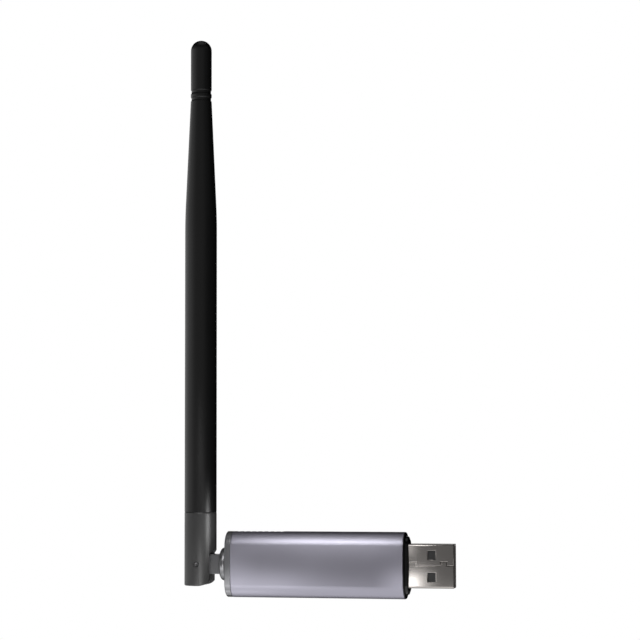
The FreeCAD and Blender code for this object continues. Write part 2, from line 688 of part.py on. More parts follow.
def swivel_clip():
    """The open retaining ring in the shaft's groove."""
    core = SHAFT_RADIUS - CLIP_GROOVE_DEPTH
    ring = rod_x(CLIP_RADIUS, CLIP_LEFT, CLIP_RIGHT).cut(rod_x(core, CLIP_LEFT - 1, CLIP_RIGHT + 1))
    half = CLIP_MOUTH / 2
    return ring.cut(block(CLIP_LEFT - 1, CLIP_RIGHT + 1, -half, half, -CLIP_RADIUS - 1, 0))


def elbow_tongue():
    """The flat neck and tongue, round about the pivot."""
    half = TONGUE_HEIGHT / 2
    plate = TONGUE_PLATE / 2
    neck = block(PIVOT_X, FLANGE_LEFT + FLANGE_EDGE, -plate, plate, -half, half)
    end = rod_y(half, -plate, plate, PIVOT_X, 0)
    return neck.fuse(end).removeSplitter()


def coax_way():
    """The lead's tight bore, and the quarter of the tongue that the antenna's lead swings in."""
    half = COAX_CHANNEL_RADIUS
    reach = TONGUE_HEIGHT
    bore = rod_x(COAX_RADIUS, PIVOT_X, SHAFT_END + 1)
    quarter = block(PIVOT_X - reach, PIVOT_X + half, -half, half, -half, reach)
    return [bore, quarter]


def swivel_knuckle():
    """The moulded knuckle: hollow shaft, round flange, neck and tongue."""
    flange = rod_x(FLANGE_RADIUS, FLANGE_LEFT, FLANGE_RIGHT)
    flange = flange.makeChamfer(FLANGE_EDGE, edges_at_x(flange, FLANGE_LEFT))
    shaft = rod_x(SHAFT_RADIUS, FLANGE_RIGHT - 0.5, SHAFT_END)
    groove = rod_x(SHAFT_RADIUS + 1, CLIP_LEFT, CLIP_RIGHT)
    groove = groove.cut(rod_x(SHAFT_RADIUS - CLIP_GROOVE_DEPTH, CLIP_LEFT - 1, CLIP_RIGHT + 1))
    body = flange.fuse([shaft, elbow_tongue()])
    hole = rod_y(PIN_RADIUS + PIN_CLEARANCE, -BASE_RADIUS, BASE_RADIUS, PIVOT_X, 0)
    return body.cut(coax_way() + [groove, hole]).removeSplitter()


def hinge_pin(side):
    """One stub pin, pressed through an ear and running in the tongue's cheek."""
    outer = BASE_RADIUS - PIN_RECESS
    inner = TONGUE_PLATE / 2 - PIN_INTO_TONGUE
    low = min(side * outer, side * inner)
    high = max(side * outer, side * inner)
    return rod_y(PIN_RADIUS, low, high, PIVOT_X, 0)


def base_outline_cutter():
    """What is cut from the base's stick side: the flat, its shoulder and the low corner."""
    far = BASE_RADIUS + 1
    wide = 2 * BASE_RADIUS
    shoulder_low = BASE_SLOT_ROOF
    points = [
        V(PIVOT_X + BASE_FLAT, -wide, -BASE_BELOW_PIVOT - 1),
        V(PIVOT_X + BASE_FLAT, -wide, shoulder_low),
        V(PIVOT_X + BASE_FLAT + BASE_SHOULDER, -wide, shoulder_low + BASE_SHOULDER),
        V(PIVOT_X + far, -wide, shoulder_low + BASE_SHOULDER),
        V(PIVOT_X + far, -wide, -BASE_BELOW_PIVOT - 1),
    ]
    flat = Part.Face(Part.makePolygon(points + [points[0]])).extrude(V(0, 2 * wide, 0))
    corner_x = PIVOT_X + BASE_RADIUS - BASE_CORNER
    corner_z = -BASE_BELOW_PIVOT + BASE_CORNER
    square = block(corner_x, PIVOT_X + far, -wide, wide, -BASE_BELOW_PIVOT - 1, corner_z)
    corner = square.cut(rod_y(BASE_CORNER, -wide - 1, wide + 1, corner_x, corner_z))
    return [flat, corner]


def base_slot():
    """The slot for the tongue, open towards the stick and downwards."""
    left = PIVOT_X - BASE_RADIUS + BASE_BACK_WALL
    right = PIVOT_X + BASE_RADIUS + 1
    low = -BASE_BELOW_PIVOT - 1
    return block(left, right, -BASE_SLOT_HALF, BASE_SLOT_HALF, low, BASE_SLOT_ROOF)


def antenna_base():
    """The moulded fork at the antenna's foot, with the spigot that the radome sits on."""
    body = rod_z(BASE_RADIUS, -BASE_BELOW_PIVOT, BASE_SEAM_HEIGHT, PIVOT_X)
    body = body.makeChamfer(BASE_EDGE_BREAK, edges_at_z(body, BASE_SEAM_HEIGHT))
    body = body.makeChamfer(BASE_BOTTOM_EDGE, edges_at_z(body, -BASE_BELOW_PIVOT))
    spigot = rod_z(SPIGOT_RADIUS, BASE_SEAM_HEIGHT - 1, SPIGOT_TOP, PIVOT_X)
    body = body.fuse(spigot)
    bore = rod_z(COAX_RADIUS, 0, SPIGOT_TOP + 1, PIVOT_X)
    hole = rod_y(PIN_RADIUS, -BASE_RADIUS - 1, BASE_RADIUS + 1, PIVOT_X, 0)
    return body.cut(base_outline_cutter() + [base_slot(), bore, hole]).removeSplitter()


def beside_axis(radius, z):
    """A point beside the antenna's axis."""
    return V(PIVOT_X + radius, 0, z)


def chain(corners):
    """Straight edges through corners that are each a radius and a Z."""
    points = [beside_axis(radius, z) for radius, z in corners]
    return [Part.LineSegment(start, end).toShape() for start, end in zip(points, points[1:])]


def radome_outline():
    """The radome's outer profile: foot, body, taper, two grooves and the domed tip."""
    slope = (RADOME_BODY_RADIUS - RADOME_TIP_RADIUS) / (RADOME_TAPER_TOP - RADOME_BODY_TOP)
    blend = RADOME_SHOULDER_BLEND
    corners = [
        (RADOME_BORE, BASE_SEAM_HEIGHT),
        (RADOME_BODY_RADIUS - BASE_EDGE_BREAK, BASE_SEAM_HEIGHT),
        (RADOME_BODY_RADIUS, BASE_SEAM_HEIGHT + BASE_EDGE_BREAK),
        (RADOME_BODY_RADIUS, RADOME_BODY_TOP - blend),
        (RADOME_BODY_RADIUS - slope * blend, RADOME_BODY_TOP + blend),
    ]
    for middle in (GROOVE_LOW, GROOVE_HIGH):
        floor = RADOME_TIP_RADIUS - GROOVE_DEPTH
        corners.append((RADOME_TIP_RADIUS, middle - GROOVE_WIDTH / 2))
        corners.append((floor, middle - GROOVE_FLOOR / 2))
        corners.append((floor, middle + GROOVE_FLOOR / 2))
        corners.append((RADOME_TIP_RADIUS, middle + GROOVE_WIDTH / 2))
    dome_foot = RADOME_HEIGHT - RADOME_TIP_RADIUS
    corners.append((RADOME_TIP_RADIUS, dome_foot))
    halfway = RADOME_TIP_RADIUS * math.sqrt(0.5)
    dome = Part.Arc(
        beside_axis(RADOME_TIP_RADIUS, dome_foot),
        beside_axis(halfway, dome_foot + halfway),
        beside_axis(0, RADOME_HEIGHT))
    return chain(corners) + [dome.toShape()]


def radome_bore_outline():
    """The radome's inner profile, from the closed tip down to the mouth of its bore."""
    narrow = RADOME_TIP_RADIUS - RADOME_WALL
    top = DIPOLE_ROD_TOP + ROD_TIP_GAP
    step = DIPOLE_ROD_FOOT + RADOME_BORE_STEP_GAP
    return chain([
        (0, RADOME_HEIGHT),
        (0, top),
        (narrow, top),
        (narrow, step),
        (RADOME_BORE, step),
        (RADOME_BORE, BASE_SEAM_HEIGHT),
    ])


def antenna_radome():
    """The moulded sheath, turned from its profile."""
    profile = Part.Wire(Part.__sortEdges__(radome_outline() + radome_bore_outline()))
    return Part.Face(profile).revolve(V(PIVOT_X, 0, 0), Z_AXIS, 360)


def antenna_coax():
    """The lead from the elbow's pivot up to the dipole's feed point."""
    return rod_z(COAX_RADIUS, COAX_CHANNEL_RADIUS, DIPOLE_SLEEVE_TOP - DIPOLE_SLEEVE_WALL, PIVOT_X)


def dipole_sleeve():
    """The lower half of the dipole: a brass tube closed at its top."""
    tube = rod_z(DIPOLE_SLEEVE_RADIUS, DIPOLE_SLEEVE_FOOT, DIPOLE_SLEEVE_TOP, PIVOT_X)
    inner = DIPOLE_SLEEVE_RADIUS - DIPOLE_SLEEVE_WALL
    bore = rod_z(inner, DIPOLE_SLEEVE_FOOT - 1, DIPOLE_SLEEVE_TOP - DIPOLE_SLEEVE_WALL, PIVOT_X)
    return tube.cut(bore)


def dipole_rod():
    """The upper half of the dipole: a thin copper rod."""
    return rod_z(DIPOLE_ROD_RADIUS, DIPOLE_ROD_FOOT, DIPOLE_ROD_TOP, PIVOT_X)


def feed_insulator():
    """The plastic bead between the dipole's two halves."""
    bead = rod_z(DIPOLE_SLEEVE_RADIUS, DIPOLE_SLEEVE_TOP, DIPOLE_ROD_FOOT, PIVOT_X)
    return bead


def rod_spacer():
    """The foam collar that keeps the rod in the middle of the radome."""
    high = DIPOLE_ROD_TOP - SPACER_SETBACK
    low = high - SPACER_LENGTH
    collar = rod_z(RADOME_TIP_RADIUS - RADOME_WALL - SPACER_GAP, low, high, PIVOT_X)
    return collar.cut(rod_z(DIPOLE_ROD_RADIUS, low - 1, high + 1, PIVOT_X))


def stick_parts():
    """Everything that stays still with the USB plug."""
    parts = {
        "housing_sleeve": housing_sleeve(),
        "plug_end_cap": plug_end_cap(),
        "antenna_end_cap": antenna_end_cap(),
        "usb_shell": usb_shell(),
        "usb_tongue": usb_tongue(),
        "circuit_board": circuit_board(),
        "usb_bridge_chip": chip_with_pads(BRIDGE_CHIP, BRIDGE_CHIP_AT, 6, 0.3),
        "bridge_crystal": chip(BRIDGE_CRYSTAL, BRIDGE_CRYSTAL_AT),
        "voltage_regulator": chip_with_pads(REGULATOR, REGULATOR_AT, 3, 0.5),
        "power_inductor": two_terminal(INDUCTOR, INDUCTOR_AT),
        "radio_chip": chip_with_pads(RADIO_CHIP, RADIO_CHIP_AT, 8, 0.3),
        "radio_crystal": chip(RADIO_CRYSTAL, RADIO_CRYSTAL_AT),
        "shield_can": shield_can(),
        "coax_socket": coax_socket(),
        "coax_plug": coax_plug(),
        "coax_lead": coax_lead(),
        "swivel_washer": swivel_washer(),
    }
    for number, contact in enumerate(usb_contacts(), 1):
        parts["usb_contact_%d" % number] = contact
    for number, place in enumerate(CAPACITORS_AT, 1):
        parts["capacitor_%d" % number] = two_terminal(CAPACITOR, place)
    for number, place in enumerate(RESISTORS_AT, 1):
        parts["resistor_%d" % number] = two_terminal(RESISTOR, place)
    return parts


def moving_parts():
    """What turns with the swivel, and the antenna that folds on it."""
    return {
        "swivel_knuckle": swivel_knuckle(),
        "swivel_clip": swivel_clip(),
        "swivel_coax": swivel_coax(),
        "hinge_pin_front": hinge_pin(-1),
        "hinge_pin_rear": hinge_pin(1),
        "antenna_base": antenna_base(),
        "antenna_radome": antenna_radome(),
        "antenna_coax": antenna_coax(),
        "dipole_sleeve": dipole_sleeve(),
        "feed_insulator": feed_insulator(),
        "dipole_rod": dipole_rod(),
        "rod_spacer": rod_spacer(),
    }


def main():
    """Build every piece and write it to its own file."""
    os.makedirs("parts", exist_ok=True)
    parts = stick_parts()
    parts.update(moving_parts())
    for name, shape in parts.items():
        shape.exportStep("parts/%s.step" % name)


main()
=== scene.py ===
"""Studio scene of a radio stick: oval aluminium housing, folded steel plug and rod antenna.

Lengths are in metres, apart from those that a comment gives in millimetres. The stick lies
along X with its plug at +X, the antenna stands along Z, and the broad front faces -Y.
"""

import json
import math

import bmesh
import bpy
from mathutils import Matrix, Vector

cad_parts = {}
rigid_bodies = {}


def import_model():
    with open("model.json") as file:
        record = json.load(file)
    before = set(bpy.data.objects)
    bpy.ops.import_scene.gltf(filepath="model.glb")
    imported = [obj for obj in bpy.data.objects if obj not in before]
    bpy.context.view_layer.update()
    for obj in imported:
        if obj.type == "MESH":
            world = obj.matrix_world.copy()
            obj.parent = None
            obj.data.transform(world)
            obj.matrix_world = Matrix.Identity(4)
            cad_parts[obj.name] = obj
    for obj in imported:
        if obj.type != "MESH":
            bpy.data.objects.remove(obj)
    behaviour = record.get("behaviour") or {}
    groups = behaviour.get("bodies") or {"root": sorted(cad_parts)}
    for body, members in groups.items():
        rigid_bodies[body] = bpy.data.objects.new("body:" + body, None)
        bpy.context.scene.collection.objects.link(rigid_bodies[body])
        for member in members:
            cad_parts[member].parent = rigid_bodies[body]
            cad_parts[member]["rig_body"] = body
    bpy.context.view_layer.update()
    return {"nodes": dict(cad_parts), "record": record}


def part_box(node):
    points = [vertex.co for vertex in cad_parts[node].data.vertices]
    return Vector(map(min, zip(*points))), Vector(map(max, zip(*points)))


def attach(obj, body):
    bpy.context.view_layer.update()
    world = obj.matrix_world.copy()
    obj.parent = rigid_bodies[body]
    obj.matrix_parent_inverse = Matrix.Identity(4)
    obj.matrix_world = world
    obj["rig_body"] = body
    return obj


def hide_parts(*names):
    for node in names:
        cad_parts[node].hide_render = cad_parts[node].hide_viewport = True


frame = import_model()

MM = 0.001
MERGE_DISTANCE = 0.001 * MM
FLAT_ANGLE = math.radians(0.4)
SHARP_ANGLE = math.radians(38)

# Roundings: how far in from the corner their middle point lies, as a share of the rounding, and
# the segments of a rounded edge
ROUND_MIDDLE = 0.3
ROUND_SEGMENTS = 2

# Antenna: the radome's profile, as radii and heights in millimetres
ANTENNA_X = -59.13
SEAM_HEIGHT = 14.3
SEAM_BREAK = 0.14
BODY_RADIUS = 4.46
BODY_TOP = 96.3
SHOULDER_BLEND = 4.0
SHOULDER_STEPS = 4
TIP_RADIUS = 2.945
TAPER_TOP = 129.5
GROOVES = (130.15, 132.2)
GROOVE_HALF = 0.65
GROOVE_FLOOR = 0.42
GROOVE_DEPTH = 0.19
RADOME_TOP = 146.95
BORE_RADIUS = 3.3
BORE_STEP = 93.3
BORE_TIP_RADIUS = 1.845
BORE_TOP = 126.3
TURN_STEPS = 96
DOME_STEPS = 14
GROOVE_STEPS = 8

# Cuts across long pieces, in millimetres
FORK_CUTS = [1.5 * step for step in range(-7, 10)]
SLEEVE_CUTS = (-49.0, -48.0, -34.0, -20.0, -3.0, -2.0)
ALONG_STICK, ALONG_ANTENNA = 0, 2

# Places whose edges stay sharp, in millimetres
SHELL_INSIDE = ((-99.0, -2.0, -5.75), (99.0, 2.0, 5.75))
FORK_SADDLE = ((-55.6, -4.7, 3.2), (-54.0, 4.7, 4.9))
FORK_PIN_HOLES = ((-60.7, -4.7, -1.4), (-57.5, 4.7, 1.4))

# Hinge pins: the rounding of their ends, the depth of the dished outer face, and the dish's
# slope, as insets from the rim in roundings and the share of the depth that is reached there
PIN_ROUND = 0.14 * MM
PIN_DISH = 0.22 * MM
PIN_DISH_SLOPE = ((1, 0.0), (2, 0.5), (3, 0.9))
PIN_STEPS = 48

# Standard curve between a colour as it looks and the shader's own numbers
CURVE_START = 0.04045
CURVE_START_SLOPE = 12.92
CURVE_OFFSET = 0.055
CURVE_POWER = 2.4

# Sockets of a Mix node that mixes colours
FIRST_COLOUR, SECOND_COLOUR, MIXED_COLOUR = 6, 7, 2

# Finishes: the patches' values between which roughness changes, and the unit of a grain's depth
PATCH_LOW, PATCH_HIGH = 0.3, 0.7
GRAIN_UNIT = 0.01 * MM


def linear(red, green, blue):
    """A colour written as it looks, from 0 to 255, as the shader's own numbers."""
    def one(value):
        share = value / 255
        if share <= CURVE_START:
            return share / CURVE_START_SLOPE
        return ((share + CURVE_OFFSET) / (1 + CURVE_OFFSET)) ** CURVE_POWER
    return (one(red), one(green), one(blue), 1.0)


def grey(level):
    """A grey in the shader's own numbers."""
    return (level, level, level, 1.0)


# Shader groups

def new_group(name, inputs, outputs):
    """An empty shader group with its sockets, its input node and its output node."""
    group = bpy.data.node_groups.new(name, "ShaderNodeTree")
    for label, kind, value in inputs:
        socket = group.interface.new_socket(label, in_out="INPUT", socket_type=kind)
        if value is not None:
            socket.default_value = value
    for label, kind in outputs:
        group.interface.new_socket(label, in_out="OUTPUT", socket_type=kind)
    return group, group.nodes.new("NodeGroupInput"), group.nodes.new("NodeGroupOutput")


def math_node(nodes, operation, second=None):
    """A Math node with its second number set."""
    node = nodes.new("ShaderNodeMath")
    node.operation = operation
    if second is not None:
        node.inputs[1].default_value = second
    return node


def noise_node(nodes, detail, roughness):
    """A Noise texture with its detail and its roughness set."""
    node = nodes.new("ShaderNodeTexNoise")
    node.inputs["Detail"].default_value = detail
    node.inputs["Roughness"].default_value = roughness
    return node


def grain_group():
    """Fine grain and slow patches: a height for the bump, and two masks round one half."""
    group, source, sink = new_group(
        "grain and patches",
        [
            ("Vector", "NodeSocketVector", None),
            ("Grain Scale", "NodeSocketFloat", 4000.0),
            ("Patch Scale", "NodeSocketFloat", 60.0),
        ],
        [
            ("Height", "NodeSocketFloat"),
            ("Grain", "NodeSocketFloat"),
            ("Patch", "NodeSocketFloat"),
        ],
    )
    nodes, links = group.nodes, group.links
    grain = noise_node(nodes, detail=2.0, roughness=0.6)
    patch = noise_node(nodes, detail=3.0, roughness=0.55)
    links.new(source.outputs["Vector"], grain.inputs["Vector"])
    links.new(source.outputs["Vector"], patch.inputs["Vector"])
    links.new(source.outputs["Grain Scale"], grain.inputs["Scale"])
    links.new(source.outputs["Patch Scale"], patch.inputs["Scale"])
    links.new(grain.outputs["Fac"], sink.inputs["Height"])
    links.new(grain.outputs["Fac"], sink.inputs["Grain"])
    links.new(patch.outputs["Fac"], sink.inputs["Patch"])
    return group


def tone_group():
    """Mixes a finish's dark and light tones by the average of grain and patches."""
    group, source, sink = new_group(
        "two tones",
        [
            ("Dark Tone", "NodeSocketColor", (0.1, 0.1, 0.1, 1.0)),
            ("Light Tone", "NodeSocketColor", (0.2, 0.2, 0.2, 1.0)),
            ("Grain", "NodeSocketFloat", 0.5),
            ("Patch", "NodeSocketFloat", 0.5),
        ],
        [("Color", "NodeSocketColor")],
    )
    nodes, links = group.nodes, group.links
    average = math_node(nodes, "ADD")
    half = math_node(nodes, "MULTIPLY", 0.5)
    mix = nodes.new("ShaderNodeMix")
    mix.data_type = "RGBA"
    links.new(source.outputs["Grain"], average.inputs[0])
    links.new(source.outputs["Patch"], average.inputs[1])
    links.new(average.outputs[0], half.inputs[0])
    links.new(half.outputs[0], mix.inputs["Factor"])
    links.new(source.outputs["Dark Tone"], mix.inputs[FIRST_COLOUR])
    links.new(source.outputs["Light Tone"], mix.inputs[SECOND_COLOUR])
    links.new(mix.outputs[MIXED_COLOUR], sink.inputs["Color"])
    return group


def bow_group():
    """The slight crown of a pressed sheet, as a height.

    The height falls off from the middle by the distance squared over twice the radius.
    """
    group, source, sink = new_group(
        "sheet bow",
        [
            ("Vector", "NodeSocketVector", None),
            ("Middle", "NodeSocketVector", None),
            ("Radius", "NodeSocketFloat", 0.08),
        ],
        [("Height", "NodeSocketFloat")],
    )
    nodes, links = group.nodes, group.links
    away = nodes.new("ShaderNodeVectorMath")
    away.operation = "SUBTRACT"
    square = nodes.new("ShaderNodeVectorMath")
    square.operation = "DOT_PRODUCT"
    over = math_node(nodes, "DIVIDE")
    fall = math_node(nodes, "MULTIPLY", -0.5)
    links.new(source.outputs["Vector"], away.inputs[0])
    links.new(source.outputs["Middle"], away.inputs[1])
    links.new(away.outputs["Vector"], square.inputs[0])
    links.new(away.outputs["Vector"], square.inputs[1])
    links.new(square.outputs["Value"], over.inputs[0])
    links.new(source.outputs["Radius"], over.inputs[1])
    links.new(over.outputs[0], fall.inputs[0])
    links.new(fall.outputs[0], sink.inputs["Height"])
    return group


GRAIN = grain_group()
TONES = tone_group()
BOW = bow_group()


def finish(name, dark, light, metallic, roughness, grain_scale=4000.0, grain_depth=0.3,
           patch_scale=60.0, specular=0.5, bow=None):
    """A material with two close tones, a range of roughness and a fine grain.

    A bow is a middle and a radius in millimetres, and tilts the shading as a crown would.
    """
    material = bpy.data.materials.new(name)
    material.use_nodes = True
    nodes, links = material.node_tree.nodes, material.node_tree.links
    shader = nodes["Principled BSDF"]
    shader.inputs["Metallic"].default_value = metallic
    shader.inputs["Specular IOR Level"].default_value = specular
    place = nodes.new("ShaderNodeTexCoord")
    grain = nodes.new("ShaderNodeGroup")
    grain.node_tree = GRAIN
    grain.inputs["Grain Scale"].default_value = grain_scale
    grain.inputs["Patch Scale"].default_value = patch_scale
    tones = nodes.new("ShaderNodeGroup")
    tones.node_tree = TONES
    tones.inputs["Dark Tone"].default_value = dark
    tones.inputs["Light Tone"].default_value = light
    rough = nodes.new("ShaderNodeMapRange")
    rough.inputs["From Min"].default_value = PATCH_LOW
    rough.inputs["From Max"].default_value = PATCH_HIGH
    rough.inputs["To Min"].default_value, rough.inputs["To Max"].default_value = roughness
    bump = nodes.new("ShaderNodeBump")
    bump.inputs["Strength"].default_value = 1.0
    bump.inputs["Distance"].default_value = grain_depth * GRAIN_UNIT
    links.new(place.outputs["Object"], grain.inputs["Vector"])
    links.new(grain.outputs["Grain"], tones.inputs["Grain"])
    links.new(grain.outputs["Patch"], tones.inputs["Patch"])
    links.new(grain.outputs["Patch"], rough.inputs["Value"])
    links.new(grain.outputs["Height"], bump.inputs["Height"])
    links.new(tones.outputs["Color"], shader.inputs["Base Color"])
    links.new(rough.outputs["Result"], shader.inputs["Roughness"])
    links.new(bump.outputs["Normal"], shader.inputs["Normal"])
    if bow is not None:
        middle, radius = bow
        crown = nodes.new("ShaderNodeGroup")
        crown.node_tree = BOW
        crown.inputs["Middle"].default_value = [value * MM for value in middle]
        crown.inputs["Radius"].default_value = radius * MM
        tilt = nodes.new("ShaderNodeBump")
        tilt.inputs["Strength"].default_value = 1.0
        tilt.inputs["Distance"].default_value = 1.0
        links.new(place.outputs["Object"], crown.inputs["Vector"])
        links.new(crown.outputs["Height"], tilt.inputs["Height"])
        links.new(tilt.outputs["Normal"], bump.inputs["Normal"])
    return material


FINISHES = {
    "housing_aluminium": finish(
        "anodised aluminium", linear(172, 170, 183), linear(180, 178, 191), 1.0, (0.40, 0.46),
        grain_scale=5200, grain_depth=0.5, patch_scale=45),
    "gloss_black": finish(
        "polished black plastic", linear(10, 10, 11), linear(13, 13, 14), 0.0, (0.10, 0.16),
        grain_scale=900, grain_depth=0.05),
    "cap_grey": finish(
        "pearl grey plastic", linear(146, 146, 149), linear(154, 154, 157), 0.85, (0.26, 0.32)),
    "plug_nickel": finish(
        "nickel plate", linear(176, 171, 168), linear(190, 185, 181), 1.0, (0.20, 0.27),
        grain_scale=2600, grain_depth=0.15, patch_scale=90, bow=((5.0, -2.25, 0.5), 62.0)),
    "tongue_black": finish(
        "dark plug plastic", linear(70, 70, 70), linear(78, 78, 78), 0.0, (0.45, 0.55)),
    "board_green": finish(
        "green solder mask", linear(22, 84, 52), linear(28, 98, 62), 0.0, (0.22, 0.32),
        grain_scale=1200, patch_scale=200),
    "chip_black": finish(
        "chip moulding", linear(38, 38, 40), linear(50, 50, 52), 0.0, (0.5, 0.62),
        grain_scale=9000, grain_depth=0.6),
    "tinplate": finish(
        "tinplate", linear(198, 198, 196), linear(214, 214, 212), 1.0, (0.22, 0.34)),
    "ferrite_grey": finish(
        "pressed ferrite", linear(84, 84, 86), linear(100, 100, 102), 0.0, (0.6, 0.7),
        grain_scale=7000, grain_depth=0.8),
    "contact_gold": finish(
        "gold plate", linear(222, 180, 96), linear(234, 194, 112), 1.0, (0.16, 0.24)),
    "lead_black": finish(
        "lead jacket", linear(40, 40, 40), linear(48, 48, 48), 0.0, (0.4, 0.5)),
    "washer_white": finish(
        "natural nylon", linear(222, 220, 212), linear(234, 232, 225), 0.0, (0.45, 0.55)),
    "knuckle_black": finish(
        "pearl grey knuckle plastic", linear(132, 132, 134), linear(140, 140, 142), 0.85,
        (0.27, 0.33)),
    "spring_steel": finish(
        "spring steel", linear(158, 158, 160), linear(172, 172, 174), 1.0, (0.26, 0.36)),
    # The fork's grey is far lighter than the radome's black. That is partly the plastic's own tone
    # and partly painted light, standing in for the light that falls on the lower antenna from
    # below and in front. The pin takes the same lightened grey.
    "antenna_black": finish(
        "base plastic lightened as painted light", linear(66, 66, 66), linear(72, 72, 72), 0.0, (0.35, 0.41),
        specular=0.8),
    "radome_black": finish(
        "black sheath plastic", linear(8, 8, 9), linear(12, 12, 13), 0.0, (0.34, 0.40),
        grain_scale=3000, specular=0.8),
    "pin_steel": finish(
        "pin lightened as painted light", linear(76, 76, 77), linear(82, 82, 83), 0.0, (0.24, 0.30),
        specular=0.8),
    "dipole_brass": finish(
        "drawn brass", linear(212, 180, 108), linear(224, 192, 122), 1.0, (0.24, 0.34)),
    "copper": finish(
        "drawn copper", linear(206, 134, 98), linear(220, 150, 112), 1.0, (0.24, 0.34)),
    "foam_grey": finish(
        "grey foam", linear(120, 120, 122), linear(150, 150, 152), 0.0, (0.8, 0.9),
        grain_scale=3000, grain_depth=4.0),
    "resistor_black": finish(
        "resistor glaze", linear(34, 34, 36), linear(42, 42, 44), 0.0, (0.3, 0.4)),
    "capacitor_tan": finish(
        "fired ceramic", linear(176, 150, 118), linear(190, 164, 132), 0.0, (0.35, 0.45)),
}

SLOT_OF = {part["node"]: part["material_slot"] for part in frame["record"]["subparts"]}


def give_finish(piece, slot):
    """One finish over a whole piece."""
    piece.data.materials.clear()
    piece.data.materials.append(FINISHES[slot])


# Pieces

def new_piece(name, bm, body, slot):
    """A mesh piece in the object's frame, riding on a body, with its finish."""
    for face in bm.faces:
        face.smooth = True
    for edge in bm.edges:
        edge.smooth = edge.calc_face_angle(math.pi) < SHARP_ANGLE
    mesh = bpy.data.meshes.new(name)
    bm.to_mesh(mesh)
    bm.free()
    piece = bpy.data.objects.new(name, mesh)
    bpy.context.scene.collection.objects.link(piece)
    weighted = piece.modifiers.new("even shading", "WEIGHTED_NORMAL")
    weighted.keep_sharp = True
    weighted.weight = 60
    give_finish(piece, slot)
    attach(piece, body)
    return piece


def rounded_copy(node, name, edge_round, least_angle=30.0, cuts=(), keep=()):
    """A piece that stands for a solid of the frame, with its hard edges rounded.

    Edges that turn by more than the least angle, in degrees, get the round, in millimetres.
    The cuts are planes across the piece, each an axis and a place in millimetres, which keep
    the shading of its long faces even. Edges with an end in one of the boxes to keep, each a
    low and a high corner in millimetres, stay sharp.
    """
    bm = bmesh.new()
    bm.from_mesh(frame["nodes"][node].data)
    bmesh.ops.remove_doubles(bm, verts=bm.verts, dist=MERGE_DISTANCE)
    bmesh.ops.dissolve_limit(
        bm, angle_limit=FLAT_ANGLE, use_dissolve_boundaries=False,
        verts=bm.verts, edges=bm.edges, delimit={"NORMAL"})
    for axis, at in cuts:
        place, normal = Vector((0, 0, 0)), Vector((0, 0, 0))
        place[axis], normal[axis] = at * MM, 1.0
        bmesh.ops.bisect_plane(
            bm, geom=bm.verts[:] + bm.edges[:] + bm.faces[:], dist=MERGE_DISTANCE,
            plane_co=place, plane_no=normal, clear_inner=False, clear_outer=False)
    least = math.radians(least_angle)
    kept = {
        vertex for vertex in bm.verts for low, high in keep
        if all(low[axis] < vertex.co[axis] / MM < high[axis] for axis in range(3))}
    hard = [
        edge for edge in bm.edges if edge.is_manifold and edge.calc_face_angle() > least
        and not kept.intersection(edge.verts)]
    bmesh.ops.bevel(
        bm, geom=hard, offset=edge_round * MM, offset_type="OFFSET", segments=ROUND_SEGMENTS,
        profile=0.5, affect="EDGES", clamp_overlap=False, material=-1)
    body = frame["nodes"][node]["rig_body"]
    piece = new_piece(name, bm, body, SLOT_OF[node])
    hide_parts(node)


def profile_arc(bm, start, centre, degrees, steps):
    """Carries a profile on round an arc in the XZ plane, from its last vertex."""
    bmesh.ops.spin(
        bm, geom=[start], cent=centre, axis=(0, 1, 0), angle=math.radians(degrees), steps=steps,
        use_merge=False, use_normal_flip=False, use_duplicate=False)


def radome():
    """The antenna's sheath, turned from its profile, with round grooves and a domed tip."""
    bm = bmesh.new()

    def at(radius, height):
        return Vector(((ANTENNA_X + radius) * MM, 0.0, height * MM))

    def line_to(last, radius, height):
        vertex = bm.verts.new(at(radius, height))
        bm.edges.new((last, vertex))
        return vertex

    slope = (BODY_RADIUS - TIP_RADIUS) / (TAPER_TOP - BODY_TOP)
    last = bm.verts.new(at(BORE_RADIUS, SEAM_HEIGHT))
    last = line_to(last, BODY_RADIUS - SEAM_BREAK, SEAM_HEIGHT)
    break_middle = SEAM_BREAK * ROUND_MIDDLE
    last = line_to(last, BODY_RADIUS - break_middle, SEAM_HEIGHT + break_middle)
    last = line_to(last, BODY_RADIUS, SEAM_HEIGHT + SEAM_BREAK)
    for step in range(SHOULDER_STEPS + 1):
        share = step / SHOULDER_STEPS
        height = BODY_TOP + SHOULDER_BLEND * (2 * share - 1)
        fall = slope * SHOULDER_BLEND * share * share
        last = line_to(last, BODY_RADIUS - fall, height)
    last = line_to(last, TIP_RADIUS, TAPER_TOP)
    for middle in GROOVES:
        for step in range(GROOVE_STEPS + 1):
            share = 2 * step / GROOVE_STEPS - 1
            fall = min(1.0, (1 - abs(share)) / (1 - GROOVE_FLOOR))
            depth = GROOVE_DEPTH * fall * fall * (3 - 2 * fall)
            last = line_to(last, TIP_RADIUS - depth, middle + share * GROOVE_HALF)
    last = line_to(last, TIP_RADIUS, RADOME_TOP - TIP_RADIUS)
    profile_arc(bm, last, at(0, RADOME_TOP - TIP_RADIUS), degrees=-90, steps=DOME_STEPS)
    inner = bm.verts.new(at(0, BORE_TOP))
    for radius, height in ((BORE_TIP_RADIUS, BORE_TOP), (BORE_TIP_RADIUS, BORE_STEP),
                           (BORE_RADIUS, BORE_STEP), (BORE_RADIUS, SEAM_HEIGHT)):
        inner = line_to(inner, radius, height)
    bmesh.ops.remove_doubles(bm, verts=bm.verts, dist=MERGE_DISTANCE)
    bmesh.ops.spin(
        bm, geom=bm.verts[:] + bm.edges[:], cent=at(0, 0), axis=(0, 0, 1), angle=math.tau,
        steps=TURN_STEPS, use_merge=True, use_normal_flip=False, use_duplicate=False)
    bmesh.ops.remove_doubles(bm, verts=bm.verts, dist=MERGE_DISTANCE)
    bmesh.ops.recalc_face_normals(bm, faces=bm.faces)
    piece = new_piece("radome_sheath", bm, "antenna", "radome_black")
    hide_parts("antenna_radome")


